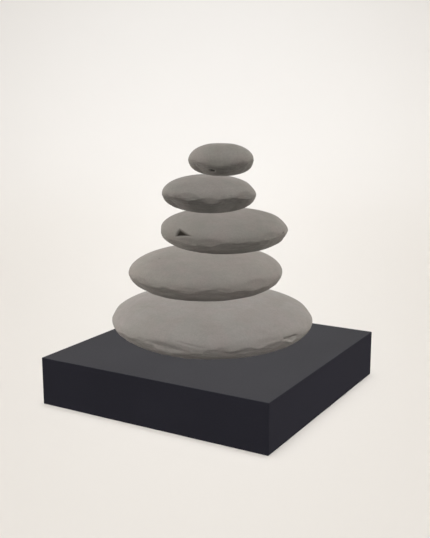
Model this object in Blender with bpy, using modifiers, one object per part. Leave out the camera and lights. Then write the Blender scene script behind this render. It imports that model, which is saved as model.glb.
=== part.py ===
"""A cairn of five flat river stones, balanced one on another on a square black plinth.

Metres, +Z up. The origin is the middle of the plinth's underside, and the plinth's sides lie along
X and Y. Heights add up from the floor: the plinth, then each stone's belly and crown in turn.
"""
import math

import bmesh
import bpy
from mathutils import Euler, Matrix, Vector, noise

PLINTH_SIDE = 0.200
PLINTH_HEIGHT = 0.0385
PLINTH_ARRIS = 0.0006
ARRIS_SEGMENTS = 2

# The stones' own axes are turned this far from the plinth's. Their places and wear are given in them.
STACK_TURN = math.radians(30)

# Stones touch on small flats, which take this much off a full crown or belly, and keep a hair's gap.
FLAT_DEPTH = 0.0005
GAP = 0.0003

# A worn face takes off this share of what stands proud of it, so that it stays slightly crowned.
WORN_SHARE = 0.85

# Long, shallow waves in the surface, of this height and length.
WAVE_HEIGHT = 0.0002
WAVE_LENGTH = 0.038

# From the bottom of the stack to its top. belly and crown are a stone's heights below and above its
# widest line, between its flats. A roundness of 2 is an ellipse in section, and more is fuller.
# point draws one end out, skew slants the outline and lobes makes it faintly three-cornered, all as
# shares of the radius. lean is the tilt about the long and the cross axis, in degrees. A worn face
# is its compass angle from the long axis and its slope, in degrees, and the depth worn away.
STONES = (
    {
        "name": "base_stone",
        "cells": 14,
        "centre": (-0.0037, 0.0049),
        "half_length": 0.0828,
        "half_width": 0.0858,
        "belly": 0.0207,
        "crown": 0.0216,
        "roundness": 2.10,
        "point": 0.011,
        "skew": -0.030,
        "lobes": 0.010,
        "lean": (0.1, -0.7),
        "worn": (
            (5, 35, 0.0010),
            (180, 30, 0.0010),
            (-118, -10, 0.0010),
            (-38, -12, 0.0010),
            (75, -12, 0.0010),
            (130, 25, 0.0012),
        ),
        "colour": (0.31, 0.29, 0.26),
    },
    {
        "name": "second_stone",
        "cells": 13,
        "centre": (-0.0069, 0.0023),
        "half_length": 0.0624,
        "half_width": 0.0640,
        "belly": 0.0192,
        "crown": 0.0190,
        "roundness": 2.02,
        "point": -0.006,
        "skew": 0.030,
        "lobes": -0.012,
        "lean": (1.0, 0.7),
        "worn": (
            (-20, -20, 0.0008),
            (-128, -35, 0.0008),
            (55, 28, 0.0009),
            (140, -14, 0.0009),
        ),
        "colour": (0.28, 0.26, 0.23),
    },
    {
        "name": "middle_stone",
        "cells": 12,
        "centre": (0.0063, 0.0006),
        "half_length": 0.0515,
        "half_width": 0.0537,
        "belly": 0.0152,
        "crown": 0.0154,
        "roundness": 2.22,
        "point": 0.018,
        "skew": -0.030,
        "lobes": 0.010,
        "lean": (1.4, -0.7),
        "worn": (
            (0, 50, 0.0016),
            (-4, -38, 0.0016),
            (180, 0, 0.0006),
            (-108, -14, 0.0009),
            (80, -16, 0.0008),
            (135, 30, 0.0009),
        ),
        "colour": (0.27, 0.25, 0.22),
    },
    {
        "name": "fourth_stone",
        "cells": 11,
        "centre": (-0.0043, -0.0018),
        "half_length": 0.0374,
        "half_width": 0.0382,
        "belly": 0.0140,
        "crown": 0.0145,
        "roundness": 2.11,
        "point": -0.008,
        "skew": 0.030,
        "lobes": -0.010,
        "lean": (0.9, 1.6),
        "worn": (
            (4, 42, 0.0008),
            (-86, -12, 0.0009),
            (-45, -40, 0.0006),
            (60, -18, 0.0007),
            (150, 22, 0.0007),
        ),
        "colour": (0.26, 0.24, 0.22),
    },
    {
        "name": "top_stone",
        "cells": 10,
        "centre": (0.0051, -0.0005),
        "half_length": 0.0263,
        "half_width": 0.0264,
        "belly": 0.0115,
        "crown": 0.0136,
        "roundness": 2.10,
        "point": -0.008,
        "skew": -0.035,
        "lobes": 0.012,
        "lean": (0.3, 0.1),
        "worn": (
            (0, 0, 0.0008),
            (-60, -40, 0.0006),
            (95, -20, 0.0005),
            (165, 30, 0.0005),
        ),
        "colour": (0.26, 0.24, 0.22),
    },
)


def clear_scene():
    for old in list(bpy.data.objects):
        bpy.data.objects.remove(old, do_unlink=True)


def make_material(name, colour, roughness):
    material = bpy.data.materials.new(name)
    material.use_nodes = True
    shader = material.node_tree.nodes["Principled BSDF"]
    shader.inputs["Base Color"].default_value = (*colour, 1.0)
    shader.inputs["Roughness"].default_value = roughness
    shader.inputs["Metallic"].default_value = 0.0
    return material


def add_object(name, solid, material, collection, parent):
    mesh = bpy.data.meshes.new(name)
    solid.to_mesh(mesh)
    solid.free()
    mesh.materials.append(material)
    piece = bpy.data.objects.new(name, mesh)
    piece.parent = parent
    collection.objects.link(piece)
    return piece


def add_plinth(collection, parent):
    solid = bmesh.new()
    size = Matrix.Diagonal((PLINTH_SIDE, PLINTH_SIDE, PLINTH_HEIGHT, 1.0))
    bmesh.ops.create_cube(solid, size=1.0, matrix=size)
    material = make_material("black lacquer", (0.012, 0.012, 0.015), 0.35)
    plinth = add_object("plinth", solid, material, collection, parent)
    plinth.location.z = PLINTH_HEIGHT / 2
    bevel = plinth.modifiers.new("arrises", "BEVEL")
    bevel.width = PLINTH_ARRIS
    bevel.segments = ARRIS_SEGMENTS
    return plinth


def round_ball(cells):
    """A unit ball of even squares, from a cube whose sides are cut into cells by cells."""
    ball = bmesh.new()
    bmesh.ops.create_cube(ball, size=2.0)
    bmesh.ops.subdivide_edges(ball, edges=ball.edges[:], cuts=cells - 1, use_grid_fill=True)
    for vert in ball.verts:
        even = [math.tan(part * math.pi / 4) for part in vert.co]
        vert.co = Vector(even).normalized()
    return ball


def outline_radius(stone, around):
    """How far a stone's widest line is from its middle, at a compass angle from its long axis."""
    along = math.cos(around) / stone["half_length"]
    across = math.sin(around) / stone["half_width"]
    drawn = stone["point"] * math.cos(around)
    slanted = stone["skew"] * math.sin(2 * around)
    cornered = stone["lobes"] * math.sin(3 * around)
    return (1 + drawn + slanted + cornered) / math.hypot(along, across)


def pebble_point(stone, ray):
    """The point of the full, unworn stone that belongs to a ray from its middle."""
    around = math.atan2(ray.y, ray.x)
    up = math.asin(max(-1.0, min(1.0, ray.z)))
    power = 2 / stone["roundness"]
    radius = outline_radius(stone, around) * math.cos(up) ** power
    full_height = FLAT_DEPTH + (stone["crown"] if up > 0 else stone["belly"])
    height = math.copysign(full_height * abs(math.sin(up)) ** power, up)
    return Vector((radius * math.cos(around), radius * math.sin(around), height))


def wear_face(solid, compass, slope, depth):
    """Rubs down what stands proud of a plane set depth below the stone's skin."""
    outward = Euler((0.0, -math.radians(slope), math.radians(compass))).to_matrix() @ Vector((1, 0, 0))
    skin = max(vert.co.dot(outward) for vert in solid.verts)
    for vert in solid.verts:
        proud = vert.co.dot(outward) - (skin - depth)
        if proud > 0:
            vert.co -= outward * proud * WORN_SHARE


def roll_waves(solid, seed):
    """Raises and lowers the skin a little, as water leaves it."""
    offset = Vector((seed, seed, seed))
    for vert in solid.verts:
        wave = noise.noise(vert.co / WAVE_LENGTH + offset)
        vert.co += vert.co.normalized() * WAVE_HEIGHT * wave


def cut_flats(solid, place, bottom, top):
    """Cuts the level flats on which a stone rests and carries, at two heights in the stack."""
    for vert in solid.verts:
        spot = place @ vert.co
        spot.z = max(bottom, min(top, spot.z))
        vert.co = place.inverted() @ spot


def add_stone(stone, seed, bed, collection, stack):
    """Adds one stone with its underside at bed, and returns the height of its top flat."""
    solid = round_ball(stone["cells"])
    for vert in solid.verts:
        vert.co = pebble_point(stone, vert.co)
    for compass, slope, depth in stone["worn"]:
        wear_face(solid, compass, slope, depth)
    roll_waves(solid, seed)

    along, across = (math.radians(angle) for angle in stone["lean"])
    lean = Euler((along, across, 0.0))
    spot = Vector((*stone["centre"], bed + stone["belly"]))
    top = bed + stone["belly"] + stone["crown"]
    place = Matrix.Translation(spot) @ lean.to_matrix().to_4x4()
    cut_flats(solid, place, bed + GAP / 2, top - GAP / 2)

    material = make_material(stone["name"] + " rock", stone["colour"], 0.6)
    piece = add_object(stone["name"], solid, material, collection, stack)
    piece.location = spot
    piece.rotation_euler = lean
    piece.data.shade_smooth()
    return top


def build():
    clear_scene()
    collection = bpy.data.collections.new("stone_cairn")
    bpy.context.scene.collection.children.link(collection)

    floor_point = bpy.data.objects.new("floor_point", None)
    collection.objects.link(floor_point)
    add_plinth(collection, floor_point)

    stack = bpy.data.objects.new("stack", None)
    stack.parent = floor_point
    stack.rotation_euler.z = STACK_TURN
    collection.objects.link(stack)

    bed = PLINTH_HEIGHT + GAP / 2
    for seed, stone in enumerate(STONES):
        bed = add_stone(stone, seed, bed, collection, stack)
    bpy.context.view_layer.update()


build()
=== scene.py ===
import math

import bmesh
import bpy
import numpy as np
from mathutils import Euler, Matrix, Vector


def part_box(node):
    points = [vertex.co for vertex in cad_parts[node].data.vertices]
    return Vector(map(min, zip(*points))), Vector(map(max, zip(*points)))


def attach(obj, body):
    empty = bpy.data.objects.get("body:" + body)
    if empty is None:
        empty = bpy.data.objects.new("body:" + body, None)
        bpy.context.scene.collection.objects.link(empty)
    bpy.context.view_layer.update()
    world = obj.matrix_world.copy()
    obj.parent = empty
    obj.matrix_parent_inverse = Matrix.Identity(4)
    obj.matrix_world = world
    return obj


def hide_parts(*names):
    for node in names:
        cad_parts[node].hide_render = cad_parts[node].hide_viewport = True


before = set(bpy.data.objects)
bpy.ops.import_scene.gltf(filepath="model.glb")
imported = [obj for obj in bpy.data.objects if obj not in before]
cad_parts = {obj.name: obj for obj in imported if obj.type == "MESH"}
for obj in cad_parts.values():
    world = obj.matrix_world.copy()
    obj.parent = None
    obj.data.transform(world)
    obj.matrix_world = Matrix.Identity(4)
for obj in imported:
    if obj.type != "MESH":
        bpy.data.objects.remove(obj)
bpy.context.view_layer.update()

millimetre = 0.001
stackTurn = 30  # degrees from the plinth's sides to the stones' long axes; wear is given from there


def linear(hexColour):
    # sRGB hex to the linear values that Blender's sockets take
    parts = [int(hexColour[i:i + 2], 16) / 255 for i in (1, 3, 5)]
    return (*[p / 12.92 if p <= 0.04045 else ((p + 0.055) / 1.055) ** 2.4 for p in parts], 1.0)


def addNode(tree, kind, settings=None, **inputs):
    # settings are the node's own; an input is a socket's name with _ for a space, or i and its
    # number, and takes a plain value, a socket or a node, whose first output in use is linked
    node = tree.nodes.new(kind)
    for key, value in (settings or {}).items():
        setattr(node, key, value)
    for key, value in inputs.items():
        numbered = key[0] == "i" and key[1:].isdigit()
        socket = node.inputs[int(key[1:])] if numbered else node.inputs[key.replace("_", " ")]
        if isinstance(value, bpy.types.Node):
            value = next(output for output in value.outputs if output.enabled)
        if isinstance(value, bpy.types.NodeSocket):
            tree.links.new(value, socket)
        else:
            socket.default_value = value
    return node


def emptyMaterial(name):
    material = bpy.data.materials.new(name)
    material.use_nodes = True
    material.node_tree.nodes.clear()
    return material, material.node_tree


def bakeModifiers(piece):
    # the evaluated shape becomes the piece's own plain mesh
    graph = bpy.context.evaluated_depsgraph_get()
    mesh = bpy.data.meshes.new_from_object(piece.evaluated_get(graph))
    piece.modifiers.clear()
    piece.data = mesh


def cadCopy(nodeName, pieceName):
    # the solid's loose triangles are merged and paired into four-sided faces, which subdivide
    # smoothly
    shape = bmesh.new()
    shape.from_mesh(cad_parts[nodeName].data)
    bmesh.ops.remove_doubles(shape, verts=shape.verts, dist=0.01 * millimetre)
    bmesh.ops.join_triangles(
        shape, faces=shape.faces[:],
        angle_face_threshold=0.7,  # radians that a pair may be bent by
        angle_shape_threshold=math.pi)
    bmesh.ops.recalc_face_normals(shape, faces=shape.faces[:])
    mesh = bpy.data.meshes.new(pieceName)
    shape.to_mesh(mesh)
    shape.free()
    piece = bpy.data.objects.new(pieceName, mesh)
    bpy.context.scene.collection.objects.link(piece)
    return piece


def readArray(mesh, field, key):
    values = np.empty(len(mesh.vertices) * 3, dtype=np.float32)
    getattr(mesh, field).foreach_get(key, values)
    return values.reshape(-1, 3).astype(float)


def writePoints(mesh, points):
    mesh.vertices.foreach_set("co", points.astype(np.float32).ravel())
    mesh.update()


def roundValues(pairs, angles):
    # values given at a few angles, read at any others, all the way round
    at, values = zip(*sorted((at % 360, value) for at, value in pairs))
    return np.interp(angles, at, values, period=360)


def polarOf(points, middle):
    # each point's angle round the stone in degrees, its distance from the stone's upright axis and
    # its height over the stone's middle, in millimetres
    x, y, height = (points - middle).T / millimetre
    return (np.degrees(np.arctan2(y, x)) - stackTurn) % 360, np.hypot(x, y), height


def nearAngle(angle, at):
    return np.abs((angle - at + 180) % 360 - 180)


def rimPoints(angle, reach, at, spread, share):
    # the points within spread degrees of this angle and out past a share of the reach there
    side = nearAngle(angle, at) < spread
    return side & (reach > share * reach[side].max())


def spotOn(points, middle, at, rise):
    # the point of the skin at this angle round the stone and this height over its middle
    angle, reach, height = polarOf(points, middle)
    side = np.flatnonzero(rimPoints(angle, reach, at, spread=4, share=0.55))
    along = np.radians(nearAngle(angle[side], at)) * reach[side]
    return side[np.argmin(np.hypot(height[side] - rise, along))]


def takenOff(proud, soft):
    # how much a cut takes off what stands proud of it; soft rounds the cut's border
    return np.where(proud > soft, proud, np.clip(proud + soft, 0, None) ** 2 / (4 * soft))


rimWear = {
    # how steep the worn underside is at each angle round a stone, as a share of the stone's own
    # slope: full on the side that faced the current, slight at the ends
    "round": ((-150, 1.0), (-136, 1.0), (-45, 1.0), (-30, 0.85), (-12, 0.4), (20, 0.35),
              (60, 0.8), (120, 0.85), (150, 0.7), (172, 0.35), (-166, 0.42)),
    "step": 3,  # degrees from one section of the rim to the next
    "calm": 3,  # the steps on each side that the worn line is evened out over, for the lower cut
    "rounding": 0.15,  # what the cut's softness gains with each millimetre below the line
    "roundingDepth": 10,  # millimetres below the line where it stops gaining
    "fade": 0.6,  # millimetres above the line where the cut ends
    "bandAbove": 2.2,  # millimetres that the band of fresh rock fades out over above the line
    "bandBelow": 12,  # the same below it, where a faint band is left
    "bandLeast": 0.3,  # that faint band's share
    "overhang": 4,  # millimetres on each side of the line where the skin can stand out
}


def wearEdge(points, middle, stone):
    # Under a wandering line round the rim the stone is worn back to a slope. Near the line the cut
    # follows its turns, lower down it evens out. Where the line hangs low the skin over it is left
    # standing out. Returns how much each point belongs to the worn band.
    angle, reach, height = polarOf(points, middle)
    step, calm = rimWear["step"], rimWear["calm"]
    angles = np.arange(0, 360, step)
    heights = np.linspace(-8, 8, 161)  # millimetres over the stone's middle
    curves = []
    for at in angles:
        # the rim's own section here: a curve of reach against height
        side = rimPoints(angle, reach, at, spread=1.6 * step, share=0.8)
        curves.append(np.polyval(np.polyfit(height[side], reach[side], 4), heights))
    widest = heights[np.argmax(curves, axis=1)]
    line = roundValues(stone["edge"], angles)
    calmLine = sum(np.roll(line, k) for k in range(-calm, calm + 1)) / (2 * calm + 1)
    reachAt, calmAt = (
        np.array([np.interp(over, heights, curve) for over, curve in zip(widest + rise, curves)])
        for rise in (line, calmLine))

    def around(values):
        return np.interp(angle, angles, values, period=360)

    fine = roundValues(stone["edge"], angle)
    top = around(widest) + fine
    share = np.clip((top - height) / stone["ledge"], 0, 1)
    topHere = top * (1 - share) + around(widest + calmLine) * share
    reachHere = around(reachAt) * (1 - share) + around(calmAt) * share
    onRim = reach > 0.6 * reachHere
    wear = roundValues(rimWear["round"], angle)
    tilt = np.radians(stone["under"] * wear)
    proud = (reach - reachHere) * np.cos(tilt) + (height - topHere) * np.sin(tilt)
    # the cut is crisp at the line and rounded below
    below = np.clip(top - height, 0, rimWear["roundingDepth"])
    cut = takenOff(proud, stone["soft"] + rimWear["rounding"] * below)
    cut *= onRim * np.clip(1 - (height - top) / rimWear["fade"], 0, 1)
    # the band is full close to the line and fades out above and below it
    band = onRim * np.where(
        height > top,
        np.clip(1.2 - (height - top) / rimWear["bandAbove"], 0, 1),
        np.clip(1.3 - (top - height) / rimWear["bandBelow"], rimWear["bandLeast"], 1))
    overhang = rimWear["overhang"]
    near = onRim * np.clip(1 - np.abs(height - top) / overhang, 0, 1)
    flare = stone["flare"] * np.clip(-fine, 0, overhang) / overhang * near * wear
    outward = flare - cut * np.cos(tilt)
    points[:, :2] += (points - middle)[:, :2] * (outward / reach)[:, None]
    points[:, 2] -= cut * np.sin(tilt) * millimetre
    return band * wear


def rubFaces(points, middle, faces):
    # each face is a plane through the skin at an angle and a height, looking out at another angle
    # and leaning by slope; what stands proud of it is taken off
    flatness = 0.96  # a trace is left on, as a rubbed face is never dead flat
    skin = points.copy()
    for at, rise, look, slope, depth, soft in faces:
        turned, tilted = math.radians(look + stackTurn), math.radians(slope)
        outward = np.array([
            math.cos(turned) * math.cos(tilted), math.sin(turned) * math.cos(tilted),
            math.sin(tilted)])
        proud = (points - skin[spotOn(skin, middle, at, rise)]) @ outward / millimetre + depth
        points -= np.outer(takenOff(proud, soft) * millimetre * flatness, outward)


def sinkChips(points, normals, middle, chips):
    # a cornered hollow at each place, its sides falling away each over its own width; returns how
    # much dirt and painted shade each point now takes, from 0 to 1
    farSide = -6  # millimetres under the skin, where the stone's other side begins
    dirtAndShade = np.zeros(len(points))
    for at, rise, depth, dirtAndShadeShare, corners in chips:
        centre = spotOn(points, middle, at, rise)
        outward = normals[centre]
        right = np.cross((0, 0, 1), outward)
        right /= np.linalg.norm(right)
        above = np.cross(outward, right)
        offset = (points - points[centre]) / millimetre
        x, y = offset @ right, offset @ above
        fall = np.ones(len(points))
        for (x0, y0, wall), (x1, y1, _) in zip(corners, corners[1:] + corners[:1]):
            inside = ((x1 - x0) * (y - y0) - (y1 - y0) * (x - x0)) / math.hypot(x1 - x0, y1 - y0)
            fall = np.minimum(fall, np.clip(inside / wall, 0, 1))
        fall *= offset @ outward > farSide
        fall = 0.5 * fall + 0.5 * fall * fall * (3 - 2 * fall)  # half straight, half eased
        points -= np.outer(fall * depth * millimetre, outward)
        dirtAndShade = np.maximum(dirtAndShade, fall * dirtAndShadeShare)
    return dirtAndShade


def weatheringTree():
    # waves and grain in a stone's skin, pores, and flakes broken from its worn band
    tree = bpy.data.node_groups.new("weathering", "GeometryNodeTree")
    face = tree.interface
    face.new_socket("Geometry", in_out="INPUT", socket_type="NodeSocketGeometry")
    for name in ("Wave Height", "Wave Length", "Grain Height", "Grain Length", "Flake Height",
                 "Flake Length", "Pore Depth", "Pore Spacing", "Pore Share", "Seed"):
        face.new_socket(name, in_out="INPUT", socket_type="NodeSocketFloat")
    face.new_socket("Rock", in_out="INPUT", socket_type="NodeSocketMaterial")
    face.new_socket("Geometry", in_out="OUTPUT", socket_type="NodeSocketGeometry")

    given = addNode(tree, "NodeGroupInput").outputs
    seed = given["Seed"]
    spot = addNode(tree, "GeometryNodeInputPosition")
    normal = addNode(tree, "GeometryNodeInputNormal")
    height = 0.0
    for kind, detail, roughness in (("Wave", 1.5, 0.4), ("Grain", 3.0, 0.6)):
        scale = addNode(
            tree, "ShaderNodeMath", {"operation": "DIVIDE"}, i0=1.0, i1=given[kind + " Length"])
        noise = addNode(
            tree, "ShaderNodeTexNoise", {"noise_dimensions": "4D"}, Vector=spot, W=seed,
            Scale=scale, Detail=detail, Roughness=roughness)
        level = addNode(tree, "ShaderNodeMath", {"operation": "SUBTRACT"}, i0=noise, i1=0.5)
        height = addNode(
            tree, "ShaderNodeMath", {"operation": "MULTIPLY_ADD"}, i0=level,
            i1=given[kind + " Height"], i2=height)

    # flakes: dished cells, wide and low, with sharp ridges between them
    squashed = addNode(
        tree, "ShaderNodeVectorMath", {"operation": "MULTIPLY"}, i0=spot, i1=(1.0, 1.0, 3.2))
    scale = addNode(
        tree, "ShaderNodeMath", {"operation": "DIVIDE"}, i0=1.0, i1=given["Flake Length"])
    flakes = addNode(
        tree, "ShaderNodeTexVoronoi", {"voronoi_dimensions": "4D"}, Vector=squashed, W=seed,
        Scale=scale)
    dish = addNode(tree, "ShaderNodeMath", {"operation": "POWER"}, i0=flakes, i1=2.0)
    dish = addNode(tree, "ShaderNodeMath", {"operation": "SUBTRACT"}, i0=dish, i1=0.25)
    band = addNode(
        tree, "GeometryNodeInputNamedAttribute", {"data_type": "FLOAT"}, Name="band")
    broken = addNode(
        tree, "ShaderNodeMath", {"operation": "MULTIPLY"}, i0=band, i1=given["Flake Height"])
    height = addNode(
        tree, "ShaderNodeMath", {"operation": "MULTIPLY_ADD"}, i0=dish, i1=broken, i2=height)

    # pores: only a share of the cells holds one, at the cell's own place
    scale = addNode(
        tree, "ShaderNodeMath", {"operation": "DIVIDE"}, i0=1.0, i1=given["Pore Spacing"])
    cells = addNode(
        tree, "ShaderNodeTexVoronoi", {"voronoi_dimensions": "4D"}, Vector=spot, W=seed,
        Scale=scale)
    chance = addNode(tree, "ShaderNodeSeparateXYZ", i0=cells.outputs["Color"])
    chosen = addNode(
        tree, "ShaderNodeMath", {"operation": "LESS_THAN"}, i0=chance, i1=given["Pore Share"])
    sunk = addNode(
        tree, "ShaderNodeMapRange", Value=cells.outputs["Distance"], From_Min=0.16, From_Max=0.0)
    pore = addNode(tree, "ShaderNodeMath", {"operation": "MULTIPLY"}, i0=chosen, i1=sunk)
    depth = addNode(
        tree, "ShaderNodeMath", {"operation": "MULTIPLY"}, i0=pore, i1=given["Pore Depth"])
    height = addNode(tree, "ShaderNodeMath", {"operation": "SUBTRACT"}, i0=height, i1=depth)

    offset = addNode(tree, "ShaderNodeVectorMath", {"operation": "SCALE"}, i0=normal, Scale=height)
    moved = addNode(tree, "GeometryNodeSetPosition", Geometry=given["Geometry"], Offset=offset)
    stored = addNode(
        tree, "GeometryNodeStoreNamedAttribute", {"data_type": "FLOAT", "domain": "POINT"},
        Geometry=moved, Name="pore", Value=pore)
    smooth = addNode(tree, "GeometryNodeSetShadeSmooth", Geometry=stored)
    real = addNode(tree, "GeometryNodeRealizeInstances", Geometry=smooth)
    finished = addNode(tree, "GeometryNodeSetMaterial", Geometry=real, Material=given["Rock"])
    addNode(tree, "NodeGroupOutput", i0=finished)
    return tree


def setInputs(modifier, values):
    # by each socket's identifier, before the object is first evaluated
    for item in modifier.node_group.interface.items_tree:
        if item.in_out == "INPUT" and item.name in values:
            modifier[item.identifier] = values[item.name]


greywackeSkin = {  # lengths are millimetres
    "patch": 16,  # of a warm or a cool cast
    "warm": "#fffcf9",
    "cool": "#fbfcf8",
    "layer": 3,  # thickness of the bedding's layers, seen as faint streaks
    "line": 1.2,  # from one layer to the next in the worn band
    "grain": 1,  # of quartz and dark minerals; the real 0.2 would not show
    "dust": "#a39d93",  # tint that darkens the pores
    "sheen": 6,  # from a duller to a smoother spot
    "tooth": 1.4,  # the skin's own unevenness, this size and finer
    "toothHeight": 0.12,
}


def greywacke(name, look):
    # greywacke, a fine grey sandstone, rolled smooth in a river and dry: a dull, even skin of tiny
    # grains, with faint darker and paler clouds, a slight bedding, darker pores, and chips tinted
    # with dirt and painted shade
    material, tree = emptyMaterial(name)
    place = addNode(tree, "ShaderNodeTexCoord").outputs["Object"]
    # clouds of the two greys
    clouds = addNode(
        tree, "ShaderNodeTexNoise", Vector=place, Scale=1 / (look["cloud"] * millimetre),
        Detail=3.0)
    share = addNode(tree, "ShaderNodeMapRange", Value=clouds, From_Min=0.35, From_Max=0.65)
    colour = addNode(
        tree, "ShaderNodeMix", {"data_type": "RGBA"}, i0=share, i6=linear(look["dark"]),
        i7=linear(look["pale"]))
    # the warm and the cool cast
    patches = addNode(
        tree, "ShaderNodeTexNoise", Vector=place, Scale=1 / (greywackeSkin["patch"] * millimetre))
    share = addNode(tree, "ShaderNodeMapRange", Value=patches, From_Min=0.4, From_Max=0.6)
    cast = addNode(
        tree, "ShaderNodeMix", {"data_type": "RGBA"}, i0=share, i6=linear(greywackeSkin["warm"]),
        i7=linear(greywackeSkin["cool"]))
    colour = addNode(
        tree, "ShaderNodeMix", {"data_type": "RGBA", "blend_type": "MULTIPLY"}, i0=1.0, i6=colour,
        i7=cast)
    # bedding
    layers = addNode(
        tree, "ShaderNodeMapping", Vector=place, Rotation=Euler(look["bedding"]),
        Scale=(0.12, 0.2, 1.0))
    streaks = addNode(
        tree, "ShaderNodeTexNoise", Vector=layers, Scale=1 / (greywackeSkin["layer"] * millimetre),
        Detail=3.0, Roughness=0.6)
    streaks = addNode(
        tree, "ShaderNodeMapRange", Value=streaks, From_Min=0.3, From_Max=0.7, To_Min=0.97,
        To_Max=1.03)
    # the worn band shows its layers as lines and is darker by broken: fresher rock, and painted
    # shade under the rim
    band = addNode(tree, "ShaderNodeAttribute", {"attribute_name": "band"}).outputs["Fac"]
    lines = addNode(
        tree, "ShaderNodeTexNoise", Vector=layers, Scale=1 / (greywackeSkin["line"] * millimetre),
        Detail=2.0)
    lines = addNode(
        tree, "ShaderNodeMapRange", Value=lines, From_Min=0.35, From_Max=0.65,
        To_Min=-look["broken"] - 0.1, To_Max=-look["broken"] + 0.1)
    lines = addNode(tree, "ShaderNodeMath", {"operation": "MULTIPLY"}, i0=lines, i1=band)
    grains = addNode(
        tree, "ShaderNodeTexVoronoi", Vector=place, Scale=1 / (greywackeSkin["grain"] * millimetre))
    specks = addNode(tree, "ShaderNodeSeparateColor", i0=grains.outputs["Color"])
    specks = addNode(tree, "ShaderNodeMapRange", Value=specks, To_Min=0.95, To_Max=1.05)
    value = addNode(tree, "ShaderNodeMath", {"operation": "MULTIPLY"}, i0=streaks, i1=specks)
    value = addNode(tree, "ShaderNodeMath", {"operation": "ADD"}, i0=value, i1=lines)
    colour = addNode(tree, "ShaderNodeHueSaturation", Value=value, Color=colour)
    # the pores are tinted darker, and the chips take dirt and painted shade
    pore = addNode(tree, "ShaderNodeAttribute", {"attribute_name": "pore"}).outputs["Fac"]
    dirtAndShade = addNode(tree, "ShaderNodeAttribute", {"attribute_name": "dirtAndShade"}).outputs["Fac"]
    for depth, stain in ((pore, greywackeSkin["dust"]), (dirtAndShade, look["dirtAndShade"])):
        colour = addNode(
            tree, "ShaderNodeMix", {"data_type": "RGBA", "blend_type": "MULTIPLY"}, i0=depth,
            i6=colour, i7=linear(stain))
    rough = addNode(
        tree, "ShaderNodeTexNoise", Vector=place, Scale=1 / (greywackeSkin["sheen"] * millimetre),
        Detail=3.0)
    rough = addNode(
        tree, "ShaderNodeMapRange", Value=rough, From_Min=0.3, From_Max=0.7,
        To_Min=look["roughness"] - 0.06, To_Max=look["roughness"] + 0.06)
    tooth = addNode(
        tree, "ShaderNodeTexNoise", Vector=place, Scale=1 / (greywackeSkin["tooth"] * millimetre),
        Detail=4.0, Roughness=0.65)
    bump = addNode(
        tree, "ShaderNodeBump", Height=tooth, Strength=0.5,
        Distance=greywackeSkin["toothHeight"] * millimetre)
    shader = addNode(
        tree, "ShaderNodeBsdfPrincipled", Base_Color=colour, Roughness=rough, Normal=bump, IOR=1.5,
        Specular_IOR_Level=look["specular"])
    addNode(tree, "ShaderNodeOutputMaterial", Surface=shader)
    return material


def addStone(stone, tree, seed):
    node = stone["node"]
    piece = cadCopy(node, stone["name"])
    low, high = (np.array(corner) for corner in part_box(node))
    middle = (low + high) / 2
    rounding = piece.modifiers.new("rounding", "SUBSURF")
    rounding.levels = rounding.render_levels = 3  # every face becomes 64
    bakeModifiers(piece)

    mesh = piece.data
    points = readArray(mesh, "vertices", "co")
    normals = readArray(mesh, "vertex_normals", "vector")
    # subdividing draws the skin in a little, so it is let out again
    points += normals * stone["swell"] * millimetre
    band = wearEdge(points, middle, stone)
    rubFaces(points, middle, stone["rubbed"])
    dirtAndShade = sinkChips(points, normals, middle, stone["chips"])
    writePoints(mesh, points)
    for name, values in (("band", band), ("dirtAndShade", dirtAndShade)):
        layer = mesh.attributes.new(name, "FLOAT", "POINT")
        layer.data.foreach_set("value", values.astype(np.float32))

    weathering = piece.modifiers.new("weathering", "NODES")
    weathering.node_group = tree
    lengths = {
        "Wave Height": stone["waves"][0], "Wave Length": stone["waves"][1],
        "Grain Height": stone["grain"][0], "Grain Length": stone["grain"][1],
        "Flake Height": stone["flakes"][0], "Flake Length": stone["flakes"][1],
        "Pore Depth": stone["pores"][0], "Pore Spacing": stone["pores"][1],
    }
    setInputs(weathering, {name: length * millimetre for name, length in lengths.items()})
    setInputs(weathering, {
        "Pore Share": stone["poreShare"], "Seed": float(seed),
        "Rock": greywacke(stone["rock"], stone["look"]),
    })
    bakeModifiers(piece)
    # the skin stays between the two flats the stone touches its neighbours with
    points = readArray(piece.data, "vertices", "co")
    points[:, 2] = np.clip(points[:, 2], low[2], high[2])
    writePoints(piece.data, points)
    piece.visible_glossy = False  # the lacquer mirrors the room, not the stones
    piece.visible_diffuse = False  # and the stones' tops throw no light up under one another
    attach(piece, "root")
    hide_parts(node)
    print(stone["name"], len(piece.data.polygons) * 2, "triangles")
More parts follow.
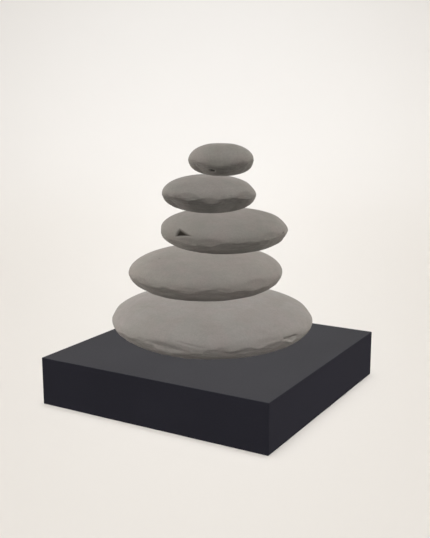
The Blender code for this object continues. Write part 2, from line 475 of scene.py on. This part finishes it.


# The stones, from the bottom of the stack to its top. Angles are degrees and lengths millimetres.
# swell: how far the skin is let out after subdividing.
# under, ledge, soft, flare: the worn side's slope, the height over which the edge's turns even out,
# the edge's own rounding, and how far the skin stands out over its low parts.
# edge: angle round the stone, height of the worn edge over the widest line.
# rubbed: angle, height on the stone, angle it looks out at, slope, extra depth, soft border.
# chips: angle, height on the stone, depth, share of dirt and painted shade, corners across and up
# the skin, each with the width of the wall from it to the next.
# waves, grain, flakes: height and length. pores: depth and spacing. poreShare: how many of the
# places for a pore hold one.
# look: the two greys and the length of their clouds, what dirt and painted shade tint the chips
# with, how much darker the worn band is (broken: fresher rock, and painted shade under the rim),
# and how the bedding leans, in radians.
baseStone = {
    "name": "riverStoneBase", "node": "base_stone", "slot": "base_rock",
    "rock": "greywacke, palest",
    "swell": 0.15, "under": -38, "ledge": 3.5, "soft": 0.2, "flare": 0.7,
    "edge": ((-160, -1.6), (-147, -0.3), (-143, -2.2), (-132, 0.2), (-122, -2.0), (-119, -5.6),
             (-112, -6.0), (-103, -4.2), (-97, -3.2), (-94, -3.6), (-91, -1.0), (-85, -0.1),
             (-79, -2.2), (-72, -0.6), (-66, -2.2), (-60, -0.6), (-50, -0.1), (-44, -3.5),
             (-40, -1.5), (-36, -3.5), (-26, -1.3), (-12, -2.0), (4, 0.5), (20, -1.5), (38, 0.8),
             (55, -2.0), (72, 0.3), (90, -2.2), (108, 0.5), (124, -1.8), (140, 0.0), (156, -2.4),
             (176, 0.2)),
    "rubbed": ((-60, 4.0, -60, 16, 0.2, 0.3), (-20, 5.0, -20, 24, 0.2, 0.3),
               (30, 3.0, 30, 10, 0.4, 0.2), (85, 2.0, 85, 8, 0.4, 0.2),
               (130, 3.0, 130, 12, 0.4, 0.2)),
    "chips": ((-45, 0.4, 1.9, 0.35, [(12, -0.4, 2.6), (6.0, 2.2, 2.8), (-8.8, 2.4, 2.6),
                                     (-9.5, -0.6, 2.0), (1.7, -3.6, 2.4)]),
              (-112, -1.8, 1.2, 0.0, [(18, -1.1, 3.6), (6.8, 1.4, 3.6), (-4.3, 3.5, 3.6),
                                      (-19, 3.0, 2.0), (-24, 0.0, 3.8), (-2.0, -6.4, 3.8),
                                      (17, -3.9, 2.0)]),
              (-99, 1.4, 0.5, 0.0, [(12, -1.2, 1.8), (2.2, 1.2, 1.8), (-14, 3.2, 1.8),
                                    (-12, 0.8, 2.5), (3.1, -2.6, 2.5)])),
    "waves": (0.7, 34), "grain": (0.1, 4.0), "flakes": (1.0, 8.0), "pores": (0.35, 8.0),
    "poreShare": 0.10,
    "look": {"dark": "#86817c", "pale": "#8c8682", "cloud": 34, "dirtAndShade": "#a09a90",
             "roughness": 0.58, "specular": 0.22, "broken": 0.0, "bedding": (0.10, 0.22, 0.4)},
}
secondStone = {
    "name": "riverStoneSecond", "node": "second_stone", "slot": "second_rock",
    "rock": "greywacke, pale",
    "swell": 0.15, "under": -44, "ledge": 3.5, "soft": 0.25, "flare": 0.6,
    "edge": ((-156, 1.0), (-143, 0.3), (-131, -2.2), (-118, -0.4), (-111, -1.8), (-102, -3.1),
             (-94, -1.5), (-90, -1.0), (-86, -0.2), (-80, -1.2), (-76, -2.8), (-70, -2.6),
             (-64, -2.3), (-54, -3.6), (-42, -3.6), (-31, -1.6), (-20, 0.6), (-5, -1.0), (12, 0.8),
             (30, -2.0), (50, 0.6), (68, -1.6), (84, 0.4), (104, -2.2), (122, 0.8), (142, -1.4),
             (160, 0.5), (178, -1.2)),
    "rubbed": ((-99, -0.5, -99, -12, 0.2, 0.3), (-77, -1.0, -77, -16, 0.2, 0.3),
               (-140, 3.0, -140, 8, 0.2, 0.3), (-50, 3.0, -50, 12, 0.2, 0.3),
               (-10, 2.0, -10, 6, 0.3, 0.2), (40, 3.0, 40, 10, 0.3, 0.2),
               (95, 2.0, 95, 6, 0.4, 0.2), (150, 3.0, 150, 10, 0.4, 0.2)),
    "chips": (),
    "waves": (0.6, 28), "grain": (0.1, 3.5), "flakes": (0.8, 7.0), "pores": (0.35, 7.0),
    "poreShare": 0.08,
    "look": {"dark": "#837d78", "pale": "#89837d", "cloud": 30, "dirtAndShade": "#a09a90", "roughness": 0.6,
             "specular": 0.22, "broken": 0.0, "bedding": (-0.12, 0.15, 1.1)},
}
middleStone = {
    "name": "riverStoneMiddle", "node": "middle_stone", "slot": "middle_rock",
    "rock": "greywacke, chipped",
    "swell": 0.12, "under": -44, "ledge": 3.0, "soft": 0.2, "flare": 0.5,
    "edge": ((-162, -1.6), (-150, -2.8), (-138, -1.7), (-118, -2.9), (-98, -2.1), (-91, -0.8),
             (-85, 0.5), (-79, -0.9), (-72, 0.4), (-64, -0.8), (-54, 0.4), (-40, 0.4), (-31, 2.2),
             (-22, 0.0), (-8, -1.0), (10, 0.8), (26, -1.4), (46, 0.4), (64, -1.8), (86, 0.6),
             (104, -1.6), (124, 0.4), (146, -1.8), (170, 0.4)),
    "rubbed": ((-108, 0.4, -108, -14, 0.0, 0.4), (-128, 0.0, -128, -12, 0.0, 0.3),
               (-45, 4.0, -45, 12, 0.2, 0.25), (-12, 3.0, -12, 14, 0.2, 0.2),
               (30, 2.0, 30, 8, 0.3, 0.2), (80, 3.0, 80, 10, 0.3, 0.2),
               (140, 2.0, 140, 8, 0.3, 0.2), (-175, 2.0, -175, 6, 0.2, 0.2)),
    "chips": ((-129, 2.7, 1.7, 1.0, [(-7.8, 5.1, 2.2), (-9.0, -3.2, 1.8), (10.6, -0.5, 2.0)]),
              (-28, 1.5, 0.5, 0.6, [(-2.4, 0.5, 0.8), (-1.0, -1.1, 0.8), (2.2, -0.7, 0.8),
                                    (0.8, 1.3, 0.8)])),
    "waves": (0.5, 24), "grain": (0.08, 3.0), "flakes": (0.7, 6.0), "pores": (0.3, 6.5),
    "poreShare": 0.08,
    # the dark tint of this stone's chips is painted shade in the hollows
    "look": {"dark": "#7a7670", "pale": "#807a75", "cloud": 26, "dirtAndShade": "#3c372f", "roughness": 0.6,
             "specular": 0.22, "broken": 0.0, "bedding": (0.18, -0.1, 2.0)},
}
fourthStone = {
    "name": "riverStoneFourth", "node": "fourth_stone", "slot": "fourth_rock",
    "rock": "greywacke, olive",
    "swell": 0.1, "under": -50, "ledge": 3.0, "soft": 0.2, "flare": 0.6,
    "edge": ((-160, -0.8), (-147, 0.8), (-142, -0.3), (-131, 1.1), (-117, -0.6), (-103, 0.8),
             (-97, -0.8), (-93, -2.4), (-88, -3.3), (-82, -2.4), (-76, 0.0), (-72, 1.2), (-68, 0.6),
             (-63, 1.8), (-50, 0.9), (-38, 0.7), (-30, -0.6), (-14, 0.8), (4, -1.0), (26, 0.8),
             (50, -1.4), (74, 0.6), (98, -1.2), (120, 0.8), (142, -1.4), (164, 0.6), (180, -0.6)),
    "rubbed": ((-87, 0.6, -87, -18, 0.0, 0.2), (-112, 4.0, -112, 8, 0.2, 0.25),
               (-40, 4.0, -40, 8, 0.2, 0.25), (10, 2.0, 10, 8, 0.2, 0.15),
               (70, 3.0, 70, 10, 0.2, 0.15), (130, 2.0, 130, 8, 0.2, 0.15)),
    "chips": (),
    "waves": (0.4, 20), "grain": (0.07, 2.6), "flakes": (0.6, 5.5), "pores": (0.3, 6.0),
    "poreShare": 0.08,
    # broken darkens this stone's worn band with painted shade as well as fresher rock
    "look": {"dark": "#7d7873", "pale": "#827d78", "cloud": 22, "dirtAndShade": "#a09a90", "roughness": 0.6,
             "specular": 0.22, "broken": 0.24, "bedding": (0.1, 0.2, 0.2)},
}
topStone = {
    "name": "riverStoneTop", "node": "top_stone", "slot": "top_rock", "rock": "greywacke, warm",
    "swell": 0.08, "under": -44, "ledge": 3.0, "soft": 0.8, "flare": 0.3,
    "edge": ((-160, 0.0), (-145, -0.4), (-128, -0.7), (-116, -1.4), (-106, -2.6), (-97, -3.4),
             (-88, -3.0), (-78, -1.9), (-68, -0.9), (-60, -1.0), (-50, -0.1), (-40, -0.8),
             (-28, 0.9), (0, -0.8), (30, 0.6), (60, -0.6), (90, 0.8), (120, -0.8), (150, 0.5),
             (175, -0.5)),
    "rubbed": ((-60, 2.0, -60, 6, 0.2, 0.25), (20, 2.0, 20, 6, 0.2, 0.15),
               (100, 2.0, 100, 6, 0.2, 0.15)),
    "chips": ((-107, -7.0, 0.9, 1.0, [(-4.6, 0.4, 1.0), (-2.4, -2.1, 1.0), (1.7, -2.0, 1.0),
                                      (2.7, 0.5, 1.0), (-0.2, 2.3, 1.0)]),),
    "waves": (0.3, 16), "grain": (0.06, 2.2), "flakes": (0.4, 4.5), "pores": (0.25, 5.0),
    "poreShare": 0.06,
    # the dark tint of this stone's pit is painted shade in the hollow; broken darkens its worn band
    # with painted shade as well as fresher rock
    "look": {"dark": "#7e7973", "pale": "#837e79", "cloud": 18, "dirtAndShade": "#2e2a25",
             "roughness": 0.58, "specular": 0.22, "broken": 0.2, "bedding": (-0.2, 0.1, 0.8)},
}

tree = weatheringTree()
for seed, stone in enumerate((baseStone, secondStone, middleStone, fourthStone, topStone)):
    addStone(stone, tree, seed)
print("stones done")


plinthFinish = {  # lengths are millimetres
    "colour": "#2c2b31",
    "dustAndSheenColour": "#3f3e40",  # the top: painted sheen, with some settled stone dust
    "roughness": 0.75,
    "specular": 0.03,
    "cloud": 60,  # from a thinner to a thicker place in the film
    "orangePeel": 2.4,  # from one swell of the sprayed film to the next
    "peelHeight": 0.02,
    "dust": 0.9,  # from one speck to the next
}


def mattLacquer(name, look):
    # black nitrocellulose lacquer sprayed on fibreboard and flatted: an even, bluish near-black
    # film with a faint orange peel and little sheen; the top is painted greyer, a painted sheen
    # with fine stone dust on it
    material, tree = emptyMaterial(name)
    place = addNode(tree, "ShaderNodeTexCoord").outputs["Object"]
    facing = addNode(tree, "ShaderNodeNewGeometry").outputs["Normal"]
    upward = addNode(tree, "ShaderNodeSeparateXYZ", i0=facing).outputs[2]
    # faces that look up are painted lighter: painted sheen, with some dust
    dustAndSheenShare = addNode(tree, "ShaderNodeMapRange", Value=upward, From_Min=0.6, From_Max=0.98)
    film = addNode(
        tree, "ShaderNodeTexNoise", Vector=place, Scale=1 / (look["cloud"] * millimetre),
        Detail=3.0)
    film = addNode(
        tree, "ShaderNodeMapRange", Value=film, From_Min=0.3, From_Max=0.7, To_Min=0.94,
        To_Max=1.06)
    specks = addNode(
        tree, "ShaderNodeTexNoise", Vector=place, Scale=1 / (look["dust"] * millimetre), Detail=2.0)
    specks = addNode(
        tree, "ShaderNodeMapRange", Value=specks, From_Min=0.4, From_Max=0.75, To_Min=0.97,
        To_Max=1.1)
    value = addNode(tree, "ShaderNodeMath", {"operation": "MULTIPLY"}, i0=film, i1=specks)
    colour = addNode(
        tree, "ShaderNodeMix", {"data_type": "RGBA"}, i0=dustAndSheenShare, i6=linear(look["colour"]),
        i7=linear(look["dustAndSheenColour"]))
    colour = addNode(tree, "ShaderNodeHueSaturation", Value=value, Color=colour)
    rough = addNode(
        tree, "ShaderNodeMapRange", Value=film, From_Min=0.94, From_Max=1.06,
        To_Min=look["roughness"] - 0.03, To_Max=look["roughness"] + 0.03)
    peel = addNode(
        tree, "ShaderNodeTexNoise", Vector=place, Scale=1 / (look["orangePeel"] * millimetre),
        Detail=1.0)
    bump = addNode(
        tree, "ShaderNodeBump", Height=peel, Strength=0.25,
        Distance=look["peelHeight"] * millimetre)
    shader = addNode(
        tree, "ShaderNodeBsdfPrincipled", Base_Color=colour, Roughness=rough, Normal=bump, IOR=1.5,
        Specular_IOR_Level=look["specular"])
    addNode(tree, "ShaderNodeOutputMaterial", Surface=shader)
    return material


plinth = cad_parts["plinth"]
plinth.data.materials.clear()
plinth.data.materials.append(mattLacquer("black matt lacquer", plinthFinish))
print("plinth done")


# Studio: a pale bowl for floor and backdrop, a ring of soft suns round the stones, three more that
# draw soft shadows, and lamps that shine past the stones onto the bowl. A light's shadows come from
# "nothing", "everything" or the "plinth" alone. Lengths are metres.
studio = {
    "floorRadius": 1.0,
    "bend": 1.6,
    "bendSteps": 12,
    "wallTop": 3.0,
    "sides": 96,  # round the bowl
    "paint": "#dcd6ce",
    "sunDistance": 2.0,  # only where they are drawn, as a sun shines the same from anywhere
    "suns": (
        # degrees round from the camera, to the right; degrees up; strength; degrees wide; shadows
        ("sideLeft", -85, 5, 0.38, 50, "nothing"),
        ("frontLeft", -45, 15, 0.16, 60, "nothing"),
        ("front", 0, 8, 0.06, 60, "nothing"),
        ("frontRight", 45, 15, 0.445, 60, "nothing"),
        ("backLeft", -130, 10, 0.83, 50, "nothing"),
        ("backRight", 130, 10, 0.715, 50, "nothing"),
        ("below", 0, -75, 0.12, 120, "nothing"),
        ("overheadShading", 0, 90, 0.05, 150, "everything"),
        ("edgeShadingLeft", 120, 82, 0.225, 18, "plinth"),
        ("edgeShadingRight", -120, 80, 0.225, 18, "plinth"),
    ),
    "lampColour": "#e8f1ff",  # a little cooler than the suns
    "lampRadius": 0.2,
    "lamps": (
        # how far behind the stones and how high; the same for what it aims at; watts; degrees wide;
        # the beam's width over its depth; shadows
        ("wallLow", 0.9, 1.8, 1.9, 0.1, 16.5, 100, 1.0, "nothing"),
        ("wallHigh", 0.5, 2.4, 2.1, 0.4, 55.0, 62, 1.0, "nothing"),
        ("floorFar", 0.3, 2.4, 1.5, 0.0, 35.0, 80, 0.4, "nothing"),
        ("floorNear", 0.1, 2.4, 0.3, 0.0, 46.0, 60, 0.145, "plinth"),
        ("frontBeam", -2.0, 1.6, 1.0, 0.0, 45.0, 40, 0.6, "nothing"),
    ),
}
cameraPlace = {
    "compass": 30.04,  # degrees round from the plinth's front, to the right
    "height": 11.99,  # degrees above level
    "distance": 0.7045,
    "target": (0.0, 0.0, 0.102),
    "lens": 57.93,
}


def awayFrom(target, compass, height, distance):
    # the point at this distance from target, seen from it at a compass angle and a height
    turned, raised = math.radians(compass), math.radians(height)
    back = Vector((
        math.sin(turned) * math.cos(raised), -math.cos(turned) * math.cos(raised),
        math.sin(raised)))
    return Vector(target) + back * distance


def addBowl(look):
    # half a section, spun: a flat floor, a wide bend and a wall
    bowl = bmesh.new()
    radius, bend, steps = look["floorRadius"], look["bend"], look["bendSteps"]
    section = [(0.0, 0.0), (radius / 2, 0.0)]
    for step in range(steps + 1):
        angle = math.radians(90 * step / steps)
        section.append((radius + bend * math.sin(angle), bend - bend * math.cos(angle)))
    section.append((radius + bend, look["wallTop"]))
    verts = [bowl.verts.new((x, 0.0, z)) for x, z in section]
    edges = [bowl.edges.new(pair) for pair in zip(verts, verts[1:])]
    bmesh.ops.spin(
        bowl, geom=verts + edges, cent=(0, 0, 0), axis=(0, 0, 1), angle=math.tau,
        steps=look["sides"], use_merge=True)
    bmesh.ops.remove_doubles(bowl, verts=bowl.verts, dist=millimetre)
    bmesh.ops.recalc_face_normals(bowl, faces=bowl.faces[:])
    mesh = bpy.data.meshes.new("studioBowl")
    bowl.to_mesh(mesh)
    bowl.free()
    mesh.shade_smooth()
    stageBowl = bpy.data.objects.new("studioBowl", mesh)
    bpy.context.scene.collection.objects.link(stageBowl)
    paint, tree = emptyMaterial("matt backdrop paint")
    shader = addNode(
        tree, "ShaderNodeBsdfPrincipled", Base_Color=linear(look["paint"]), Roughness=1.0,
        Specular_IOR_Level=0.0)
    addNode(tree, "ShaderNodeOutputMaterial", Surface=shader)
    mesh.materials.append(paint)
    # the bowl is pale all round, but throws no light of its own up at the stones
    stageBowl.visible_diffuse = False
    stageBowl.visible_shadow = False


def addLight(name, kind, spot, aim, power, wide, shadows, squeeze=1.0):
    lamp = bpy.data.lights.new(name, kind)
    lamp.energy = power
    lamp.use_shadow = shadows != "nothing"
    if kind == "SUN":
        lamp.angle = math.radians(wide)
        lamp.cycles.use_multiple_importance_sampling = lamp.use_shadow
    else:
        lamp.color = linear(studio["lampColour"])[:3]
        lamp.spot_size = math.radians(wide)
        lamp.spot_blend = 1.0
        lamp.shadow_soft_size = studio["lampRadius"]
    light = bpy.data.objects.new(name, lamp)
    # local x lies level and across the view, so a squeezed lamp's beam is narrow from side to side
    back = (Vector(spot) - Vector(aim)).normalized()
    compass = math.radians(cameraPlace["compass"])
    across = Vector((math.cos(compass), math.sin(compass), 0))
    along = back.cross(across).normalized()
    turn = Matrix((along.cross(back), along, back)).transposed().to_4x4()
    light.matrix_world = Matrix.Translation(spot) @ turn @ Matrix.Diagonal((squeeze, 1, 1, 1))
    light.visible_glossy = False  # the lacquer's sheen is the pale bowl's, even all round
    if shadows == "plinth":
        light.light_linking.blocker_collection = plinthOnly
    bpy.context.scene.collection.objects.link(light)


addBowl(studio)
plinthOnly = bpy.data.collections.new("plinthOnly")
plinthOnly.objects.link(plinth)
target = Vector(cameraPlace["target"])
for name, turned, raised, strength, wide, shadows in studio["suns"]:
    spot = awayFrom(target, cameraPlace["compass"] + turned, raised, studio["sunDistance"])
    addLight(name, "SUN", spot, target, strength * math.pi, wide, shadows)
behindStones = cameraPlace["compass"] + 180
for name, behind, height, aimBehind, aimHeight, watts, wide, squeeze, shadows in studio["lamps"]:
    spot = awayFrom((0, 0, height), behindStones, 0, behind)
    aim = awayFrom((0, 0, aimHeight), behindStones, 0, aimBehind)
    addLight(name, "SPOT", spot, aim, watts, wide, shadows, squeeze)

lens = bpy.data.cameras.new("camera")
lens.lens = cameraPlace["lens"]
camera = bpy.data.objects.new("camera", lens)
camera.location = awayFrom(
    target, cameraPlace["compass"], cameraPlace["height"], cameraPlace["distance"])
camera.rotation_euler = (target - camera.location).to_track_quat("-Z", "Y").to_euler()
bpy.context.scene.collection.objects.link(camera)
bpy.context.scene.camera = camera
bpy.context.scene.view_settings.view_transform = "Standard"
print("studio done")
